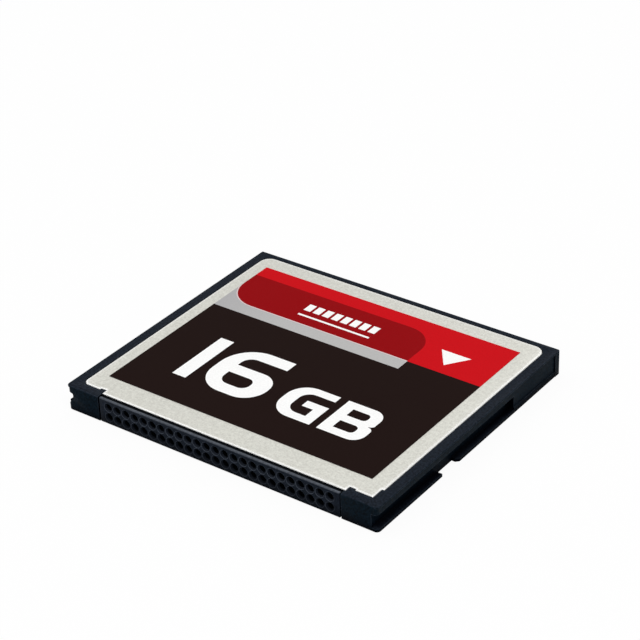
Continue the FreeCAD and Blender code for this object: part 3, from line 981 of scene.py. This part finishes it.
@dataclass
class SocketConnector:
    """The 50-socket connector, with its perforated face built by geometry nodes."""

    pitch: float = 1.27 * MM
    sockets_in_row: int = 25
    rows: int = 2
    bore_radius: float = 0.44 * MM
    mouth_radius: float = 0.555 * MM
    mouth_depth: float = 0.30 * MM
    bezel_depth: float = 0.50 * MM
    bezel_edge: float = 0.22 * MM
    rear_edge: float = 0.24 * MM
    side_edge: float = 0.05 * MM
    side_gap: float = 0.10 * MM
    core_drop: float = 0.15 * MM
    ear_width: float = 1.0 * MM
    ear_front: float = 2.0 * MM
    ear_length: float = 2.5 * MM
    ear_bottom: float = 0.9 * MM
    ear_height: float = 1.5 * MM
    lip_radius: float = 0.59 * MM
    lip_depth: float = 0.03 * MM
    sides: int = 28
    # These three finishes are the black plastic painted darker or lighter: painted shade and a
    # painted highlight.
    bore_painted_shade_finish: MouldedPlastic = MouldedPlastic(
        "connector_bore_painted_shade", paint(3, 5, 9), paint(5, 7, 11), paint(20, 24, 30),
        grain_depth=0.006 * MM)
    mouth_painted_shade_finish: MouldedPlastic = MouldedPlastic(
        "socket_mouth_painted_shade", paint(24, 28, 36), paint(34, 38, 46), paint(40, 45, 54),
        grain_depth=0.006 * MM, foot_share=0.6)
    lip_painted_highlight_finish: MouldedPlastic = MouldedPlastic(
        "socket_lip_painted_highlight", paint(58, 63, 72), paint(66, 72, 82), paint(96, 104, 116),
        grain_depth=0.004 * MM, foot_share=0.6)
    # Upward faces, the bezel's crest most, are painted lighter as painted light; near the
    # underside, painted shade.
    finish: MouldedPlastic = MouldedPlastic(
        "connector_black", paint(18, 23, 31), paint(68, 72, 79), paint(84, 92, 104),
        grain_depth=0.006 * MM, grain_scale=4200.0, grain_contrast=2.6, rough_low=0.34,
        rough_high=0.46, foot_share=0.65)

    def skin(self, low: Vector, high: Vector) -> bmesh.types.BMesh:
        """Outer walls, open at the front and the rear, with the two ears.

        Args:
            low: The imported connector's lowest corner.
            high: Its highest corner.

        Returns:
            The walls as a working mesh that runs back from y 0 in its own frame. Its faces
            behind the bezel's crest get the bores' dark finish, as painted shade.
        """
        reach = (high.x - low.x) / 2 - self.ear_width
        rise = (high.z - low.z) / 2
        length = high.y - low.y
        core = rise - self.core_drop
        work = bmesh.new()
        zone = work.faces.layers.int.new("zone")
        rings = []
        turns = (0.0, math.pi / 6, math.pi / 3, math.pi / 2)
        bezel_reach = reach - self.side_gap
        stations = [((1 - math.cos(turn)) * self.bezel_edge, (1 - math.cos(turn)) * self.side_edge,
                     1 - math.sin(turn), rise, bezel_reach) for turn in turns]
        crest = self.bezel_depth - self.rear_edge
        for turn in turns:
            depth = crest + self.rear_edge * math.sin(turn)
            half = rise - self.core_drop * (1 - math.cos(turn))
            stations.append((depth, depth, 0.0, half, bezel_reach))
        for depth in (self.bezel_depth, length):
            stations.append((depth, depth, 0.0, core, reach))
        for upper_y, lower_y, inset, half, station_reach in stations:
            x = station_reach - inset * self.side_edge
            low_z = inset * self.side_edge - half
            high_z = half - inset * self.bezel_edge
            rings.append([work.verts.new(corner) for corner in
                          ((-x, lower_y, low_z), (x, lower_y, low_z),
                           (x, upper_y, high_z), (-x, upper_y, high_z))])
        for step, (first, second) in enumerate(zip(rings, rings[1:])):
            for index in range(4):
                follow = (index + 1) % 4
                wall = work.faces.new((first[index], second[index], second[follow], first[follow]))
                # Walls behind the bezel's crest take the bores' near-black finish: painted shade.
                wall[zone] = Zone.BORE.value if step > len(turns) else Zone.FACE.value
        for side in (-1, 1):
            self.add_ear(work, side, reach, (low.z + high.z) / 2)
        return work

    def add_ear(self, work: bmesh.types.BMesh, side: int, root: float, middle: float) -> None:
        """Add one ear, a closed block that stands on the wall.

        Args:
            work: The walls' working mesh.
            side: 1 for the right ear, -1 for the left one.
            root: Half the width between the two walls.
            middle: Height of the working mesh's own middle above the underside.
        """
        bottom = self.ear_bottom - middle
        ends = [[work.verts.new((side * across, depth, height)) for depth, height in (
            (self.ear_front, bottom), (self.ear_front + self.ear_length, bottom),
            (self.ear_front + self.ear_length, bottom + self.ear_height),
            (self.ear_front, bottom + self.ear_height))]
            for across in (root, root + self.ear_width)]
        for index in range(4):
            follow = (index + 1) % 4
            corners = (ends[0][index], ends[0][follow], ends[1][follow], ends[1][index])
            work.faces.new(corners if side > 0 else corners[::-1])
        root_end, free_end = ends if side < 0 else (ends[0][::-1], ends[1][::-1])
        work.faces.new(root_end)
        work.faces.new(free_end[::-1])

    def build(self, effects: SharedEffects) -> bpy.types.Object:
        """Make the connector's piece.

        Args:
            effects: The shared node groups.

        Returns:
            The piece.
        """
        finishes = {Zone.FACE: self.finish, Zone.MOUTH: self.mouth_painted_shade_finish,
                    Zone.LIP: self.lip_painted_highlight_finish, Zone.BORE: self.bore_painted_shade_finish}
        materials = [finishes[zone].build(effects) for zone in Zone]
        low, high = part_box("connector_housing")
        middle = (low + high) / 2
        work = self.skin(low, high)
        piece = finished(work, "connector_moulding", "connector_housing",
                         materials)
        tree = SocketTree(self, low, high).build(materials)
        tree.apply(piece, middle, low)
        return piece


class SocketTree:
    """Geometry tree that closes the connector's two ends with perforated faces and bores.

    The tree's own z axis points out of the connector's front.
    """

    def __init__(self, connector: SocketConnector, low: Vector, high: Vector) -> None:
        """Start the tree with an input for each size.

        Args:
            connector: The connector's sizes.
            low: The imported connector's lowest corner.
            high: Its highest corner.
        """
        self.sides = connector.sides
        width = high.x - low.x - 2 * connector.ear_width
        height = high.z - low.z
        self.values: dict[str, float | int] = {
            "Sockets In Row": connector.sockets_in_row,
            "Rows": connector.rows,
            "Row Length": connector.pitch * (connector.sockets_in_row - 1),
            "Column Length": connector.pitch * (connector.rows - 1),
            "Bore Radius": connector.bore_radius,
            "Mouth Radius": connector.mouth_radius,
            "Mouth Depth": connector.mouth_depth,
            "Lip Radius": connector.lip_radius,
            "Lip Depth": connector.lip_depth,
            "Length": high.y - low.y,
            "Face Width": width - 2 * (connector.side_gap + connector.side_edge),
            "Face Height": height - connector.bezel_edge - connector.side_edge,
            "Face Shift": (connector.side_edge - connector.bezel_edge) / 2,
            "Rear Width": width,
            "Rear Height": height - 2 * connector.core_drop,
        }
        self.tree = bpy.data.node_groups.new("socket_field", "GeometryNodeTree")
        sockets = self.tree.interface
        sockets.new_socket("Walls", in_out="INPUT", socket_type="NodeSocketGeometry")
        for name, value in self.values.items():
            kind = "NodeSocketInt" if isinstance(value, int) else "NodeSocketFloat"
            sockets.new_socket(name, in_out="INPUT", socket_type=kind).default_value = value
        sockets.new_socket("Connector", in_out="OUTPUT", socket_type="NodeSocketGeometry")
        self.sheet = NodeSheet(self.tree)
        self.given = self.sheet.add("NodeGroupInput").outputs

    def join(self, *parts: Any) -> Any:
        """Join parts into one geometry.

        Args:
            parts: Their geometry sockets.

        Returns:
            The joined geometry's socket.
        """
        node = self.sheet.add("GeometryNodeJoinGeometry")
        for part in parts:
            self.sheet.feed(node.inputs[0], part)
        return node.outputs[0]

    def moved(self, part: Any, **levels: Any) -> Any:
        """Move a part by a distance along each axis that is named."""
        offset = self.sheet.add("ShaderNodeCombineXYZ", levels).outputs[0]
        return self.sheet.add("GeometryNodeTransform",
                              {"Geometry": part, "Translation": offset}).outputs[0]

    def below(self, depth: Any) -> bpy.types.NodeSocket:
        """Level that lies at a depth behind the front."""
        return self.sheet.maths("MULTIPLY", depth, -1.0)

    def zoned(self, part: Any, zone: Zone) -> Any:
        """Geometry socket of a part whose faces are marked with a zone."""
        inputs = {"Geometry": part, "Name": "zone", "Value": zone.value}
        return self.sheet.add("GeometryNodeStoreNamedAttribute", inputs,
                              data_type="INT", domain="FACE").outputs[0]

    def perforated(self, places: Any, width: Any, height: Any, radius: Any,
                   shift: Any = 0.0) -> Any:
        """Flat face with one round hole at each place.

        Args:
            places: Geometry whose points are the holes' middles.
            width: Socket with the face's width.
            height: Socket with its height.
            radius: Socket with the holes' radius.
            shift: How far the border's middle lies above the holes' middle.

        Returns:
            The face's geometry socket.
        """
        border = self.sheet.add("GeometryNodeCurvePrimitiveQuadrilateral",
                                {"Width": width, "Height": height}).outputs[0]
        circle = self.sheet.add("GeometryNodeCurvePrimitiveCircle",
                                {"Resolution": self.sides, "Radius": radius}).outputs["Curve"]
        holes = self.sheet.add("GeometryNodeInstanceOnPoints",
                               {"Points": places, "Instance": circle}).outputs[0]
        real = self.sheet.add("GeometryNodeRealizeInstances", {0: holes}).outputs[0]
        joined = self.join(self.moved(border, Y=shift), real)
        return self.sheet.add("GeometryNodeFillCurve", {"Curve": joined}).outputs["Mesh"]

    def ring(self, outer: Any, inner: Any, depth: Any, level: Any) -> Any:
        """Conical ring round one socket.

        Args:
            outer: Socket with the radius at the front.
            inner: Socket with the radius at the rear.
            depth: Socket with the length from front to rear.
            level: Socket with the height of the ring's rear end.

        Returns:
            The ring's geometry socket.
        """
        cone = self.sheet.add("GeometryNodeMeshCone", {
            "Vertices": self.sides, "Radius Top": outer, "Radius Bottom": inner,
            "Depth": depth}, fill_type="NONE").outputs["Mesh"]
        return self.moved(cone, Z=level)

    def bore(self) -> Any:
        """One socket's lip, mouth and bore, with their faces turned inwards.

        Returns:
            Their geometry socket.
        """
        given, maths = self.given, self.sheet.maths
        lip = self.ring(given["Lip Radius"], given["Mouth Radius"], given["Lip Depth"],
                        self.below(given["Lip Depth"]))
        mouth_end = self.below(given["Mouth Depth"])
        mouth_length = maths("SUBTRACT", given["Mouth Depth"], given["Lip Depth"])
        mouth = self.ring(given["Mouth Radius"], given["Bore Radius"], mouth_length, mouth_end)
        tube_length = maths("SUBTRACT", given["Length"], given["Mouth Depth"])
        tube = self.sheet.add("GeometryNodeMeshCylinder", {
            "Vertices": self.sides, "Radius": given["Bore Radius"],
            "Depth": tube_length}, fill_type="NONE").outputs["Mesh"]
        tube_middle = maths("SUBTRACT", mouth_end, maths("MULTIPLY", tube_length, 0.5))
        parts = self.join(self.zoned(lip, Zone.LIP), self.zoned(mouth, Zone.MOUTH),
                          self.zoned(self.moved(tube, Z=tube_middle), Zone.BORE))
        return self.sheet.add("GeometryNodeFlipFaces", {0: parts}).outputs[0]

    def ends(self) -> Any:
        """Front and rear faces with the bores between them, turned upright.

        Returns:
            Their geometry socket.
        """
        given = self.given
        places = self.sheet.add("GeometryNodeMeshGrid", {
            "Size X": given["Row Length"], "Size Y": given["Column Length"],
            "Vertices X": given["Sockets In Row"], "Vertices Y": given["Rows"]}).outputs["Mesh"]
        front = self.perforated(places, given["Face Width"], given["Face Height"],
                                given["Lip Radius"], given["Face Shift"])
        rear = self.perforated(places, given["Rear Width"], given["Rear Height"],
                               given["Bore Radius"])
        rear = self.sheet.add("GeometryNodeFlipFaces", {0: rear}).outputs[0]
        rear = self.moved(rear, Z=self.below(given["Length"]))
        faces = self.zoned(self.join(front, rear), Zone.FACE)
        bores = self.sheet.add("GeometryNodeInstanceOnPoints",
                               {"Points": places, "Instance": self.bore()}).outputs[0]
        return self.sheet.add("GeometryNodeTransform", {
            "Geometry": self.join(faces, bores), "Rotation": (math.pi / 2, 0.0, 0.0)}).outputs[0]

    def build(self, materials: list[bpy.types.Material]) -> "SocketTree":
        """Finish the tree.

        Args:
            materials: The material of each zone, in order.

        Returns:
            This object, ready to be applied.
        """
        sheet = self.sheet
        whole = self.join(self.given["Walls"], self.ends())
        real = sheet.add("GeometryNodeRealizeInstances", {0: whole}).outputs[0]
        result = sheet.add("GeometryNodeMergeByDistance",
                           {"Geometry": real, "Distance": MERGE_DISTANCE}).outputs[0]
        marked = sheet.add("GeometryNodeInputNamedAttribute", {"Name": "zone"},
                           data_type="INT").outputs["Attribute"]
        for zone, material in zip(Zone, materials):
            chosen = sheet.add("FunctionNodeCompare", {"A": marked, "B": zone.value},
                               data_type="INT", operation="EQUAL").outputs[0]
            result = sheet.add("GeometryNodeSetMaterial", {
                "Geometry": result, "Selection": chosen, "Material": material}).outputs[0]
        sheet.add("NodeGroupOutput", {0: result})
        return self

    def apply(self, piece: bpy.types.Object, middle: Vector, low: Vector) -> None:
        """Run the tree on the walls, keep the plain mesh and move it to the card's front.

        Args:
            piece: The connector's piece, which holds its walls.
            middle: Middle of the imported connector.
            low: Its lowest corner.
        """
        least_crease = math.radians(40)
        modifier = piece.modifiers.new("sockets", "NODES")
        modifier.node_group = self.tree
        for item in self.tree.interface.items_tree:
            if item.item_type == "SOCKET" and item.in_out == "INPUT" and item.name in self.values:
                modifier[item.identifier] = self.values[item.name]
        graph = bpy.context.evaluated_depsgraph_get()
        mesh = bpy.data.meshes.new_from_object(piece.evaluated_get(graph))
        mesh.name = piece.name
        mesh.transform(Matrix.Translation((middle.x, low.y, middle.z)))
        piece.modifiers.clear()
        piece.data = mesh
        piece.data.set_sharp_from_angle(angle=least_crease)


@dataclass
class InnerParts:
    """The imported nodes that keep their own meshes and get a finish."""

    gold: SheetMetal = SheetMetal(
        "contact_gold", paint(214, 170, 92), paint(184, 140, 66), paint(240, 208, 140),
        rough_low=0.2, rough_high=0.32, flake_scale=6000.0, flake_depth=0.002 * MM)
    tin: SheetMetal = SheetMetal(
        "lead_tin", paint(206, 208, 210), paint(176, 178, 182), paint(230, 231, 232),
        rough_low=0.28, rough_high=0.4, flake_scale=5000.0, flake_depth=0.002 * MM)
    resin: MouldedPlastic = MouldedPlastic(
        "chip_resin", paint(34, 34, 36), paint(40, 40, 42), paint(62, 62, 64),
        grain_scale=7000.0, rough_low=0.5, rough_high=0.62)
    ceramic: MouldedPlastic = MouldedPlastic(
        "crystal_ceramic", paint(190, 182, 162), paint(196, 188, 168), paint(222, 216, 200),
        rough_low=0.35, rough_high=0.45)
    capacitor: MouldedPlastic = MouldedPlastic(
        "capacitor_ceramic", paint(146, 108, 74), paint(150, 112, 78), paint(190, 160, 128),
        rough_low=0.35, rough_high=0.45)
    resistor: MouldedPlastic = MouldedPlastic(
        "resistor_ceramic", paint(40, 40, 44), paint(44, 44, 48), paint(150, 152, 156),
        rough_low=0.3, rough_high=0.4)
    board: Laminate = Laminate("board_green", paint(22, 82, 52), paint(34, 104, 68))
    insulator: ThinFilm = ThinFilm("insulating_film", paint(172, 104, 34))
    adhesive: ThinFilm = ThinFilm("bond_adhesive", paint(206, 196, 172),
                                  rough_low=0.45, rough_high=0.57)

    def build(self, effects: SharedEffects) -> int:
        """Give each node its finish.

        Args:
            effects: The shared node groups.

        Returns:
            How many nodes were dressed.
        """
        nodes_by_finish = {
            self.gold: ("upper_contacts", "lower_contacts"),
            self.tin: ("flash_leads_upper", "flash_leads_lower"),
            self.resin: ("flash_chip_upper", "flash_chip_lower", "controller_chip",
                         "voltage_regulator"),
            self.ceramic: ("crystal",),
            self.capacitor: ("capacitors",),
            self.resistor: ("resistors",),
            self.board: ("circuit_board",),
            self.insulator: ("upper_insulator", "lower_insulator"),
            self.adhesive: ("upper_bond_film", "lower_bond_film"),
        }
        count = 0
        for finish, names in nodes_by_finish.items():
            material = finish.build(effects)
            for name in names:
                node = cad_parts[name]
                node.data.materials.clear()
                node.data.materials.append(material)
                count += 1
        return count


@dataclass
class Studio:
    """The camera, the lamps, the pale floor and the white surround.

    Each lamp has a name, a place, a width and a power in watts. The floor reaches floor_half
    to each side, and floor_white of it glows where the camera looks straight at it.
    """

    azimuth: float = math.radians(37.411)
    elevation: float = math.radians(31.127)
    roll: float = math.radians(-2.428)
    place: tuple[float, float, float] = (120.773 * MM, -156.490 * MM, 128.795 * MM)
    lens_mm: float = 116.19
    sensor_mm: float = 36.0
    nearest: float = 5.0 * MM
    ambient: float = 0.48
    floor_white: float = 0.93
    floor_colour: Colour = (0.93, 0.93, 0.93, 1.0)
    floor_half: float = 3.0
    floor_gap: float = 0.05 * MM
    lamps: tuple[tuple[str, tuple[float, float, float], float, float], ...] = (
        ("key", (0.18, -0.12, 0.44), 0.30, 1.00),
        ("fill", (-0.30, -0.05, 0.34), 0.30, 0.39),
        ("back", (-0.05, 0.43, 0.25), 0.25, 0.31),
    )

    def build(self) -> None:
        """Set up the whole studio."""
        self.make_camera()
        self.make_lamps()
        self.make_floor()
        self.make_surround()
        bpy.context.scene.view_settings.view_transform = "Standard"

    def make_camera(self) -> None:
        """Place the camera at the photograph's viewing angle."""
        back = Vector((math.sin(self.azimuth) * math.cos(self.elevation),
                       -math.cos(self.azimuth) * math.cos(self.elevation),
                       math.sin(self.elevation)))
        level = Vector((math.cos(self.azimuth), math.sin(self.azimuth), 0.0))
        rise = back.cross(level)
        across = math.cos(self.roll) * level + math.sin(self.roll) * rise
        upward = back.cross(across)
        data = bpy.data.cameras.new("camera")
        data.lens = self.lens_mm
        data.sensor_width = self.sensor_mm
        data.clip_start = self.nearest
        camera = bpy.data.objects.new("camera", data)
        turn = Matrix((across, upward, back)).transposed().to_4x4()
        camera.matrix_world = Matrix.Translation(self.place) @ turn
        bpy.context.scene.collection.objects.link(camera)
        bpy.context.scene.camera = camera

    def make_lamps(self) -> None:
        """Hang the soft lamps, each turned to the card."""
        for name, place, size, power in self.lamps:
            data = bpy.data.lights.new(name, "AREA")
            data.size = size
            data.energy = power
            lamp = bpy.data.objects.new(name, data)
            lamp.location = place
            lamp.rotation_euler = Vector(place).to_track_quat("Z", "Y").to_euler()
            bpy.context.scene.collection.objects.link(lamp)

    def make_floor(self) -> None:
        """Lay the pale floor, which keeps the card's shadow."""
        work = bmesh.new()
        half = self.floor_half
        corners = ((-half, -half), (half, -half), (half, half), (-half, half))
        work.faces.new([work.verts.new((x, y, -self.floor_gap)) for x, y in corners])
        mesh = bpy.data.meshes.new("floor")
        work.to_mesh(mesh)
        work.free()
        floor = bpy.data.objects.new("floor", mesh)
        bpy.context.scene.collection.objects.link(floor)
        material = bpy.data.materials.new("pale_floor")
        material.use_nodes = True
        material.node_tree.nodes.clear()
        sheet = NodeSheet(material.node_tree)
        matt = sheet.add("ShaderNodeBsdfDiffuse", {"Color": self.floor_colour})
        white = sheet.add("ShaderNodeEmission", {"Color": WHITE, "Strength": 1.0})
        seen = sheet.add("ShaderNodeLightPath").outputs["Is Camera Ray"]
        share = sheet.maths("MULTIPLY", seen, self.floor_white)
        mixed = sheet.add("ShaderNodeMixShader",
                          {0: share, 1: matt.outputs[0], 2: white.outputs[0]})
        sheet.add("ShaderNodeOutputMaterial", {"Surface": mixed.outputs[0]})
        mesh.materials.append(material)

    def make_surround(self) -> None:
        """Light the card evenly from all round, before a white background."""
        world = bpy.data.worlds.new("surround")
        bpy.context.scene.world = world
        world.use_nodes = True
        world.node_tree.nodes.clear()
        sheet = NodeSheet(world.node_tree)
        even = sheet.add("ShaderNodeBackground", {"Color": WHITE, "Strength": self.ambient})
        white = sheet.add("ShaderNodeBackground", {"Color": WHITE, "Strength": 1.0})
        path = sheet.add("ShaderNodeLightPath").outputs
        seen = sheet.maths("MAXIMUM", path["Is Camera Ray"],
                           sheet.maths("MAXIMUM", path["Is Glossy Ray"],
                                       path["Is Transmission Ray"]))
        mixed = sheet.add("ShaderNodeMixShader",
                          {0: seen, 1: even.outputs[0], 2: white.outputs[0]})
        sheet.add("ShaderNodeOutputWorld", {"Surface": mixed.outputs[0]})


def main() -> None:
    """Build the studio and every piece, and log their face counts."""
    logging.basicConfig(level=logging.INFO, format="%(name)s: %(message)s")
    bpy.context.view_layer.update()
    Studio().build()
    effects = SharedEffects()
    log.info("frame: %d faces", len(MouldedFrame().build(effects).data.polygons))
    for cover in SteelCovers().build(effects):
        log.info("%s: %d faces", cover.name, len(cover.data.polygons))
    log.info("label: %d faces", len(PrintedLabel().build(effects).data.polygons))
    log.info("connector: %d faces", len(SocketConnector().build(effects).data.polygons))
    log.info("inner nodes dressed: %d", InnerParts().build(effects))


if __name__ == "__main__":
    main()
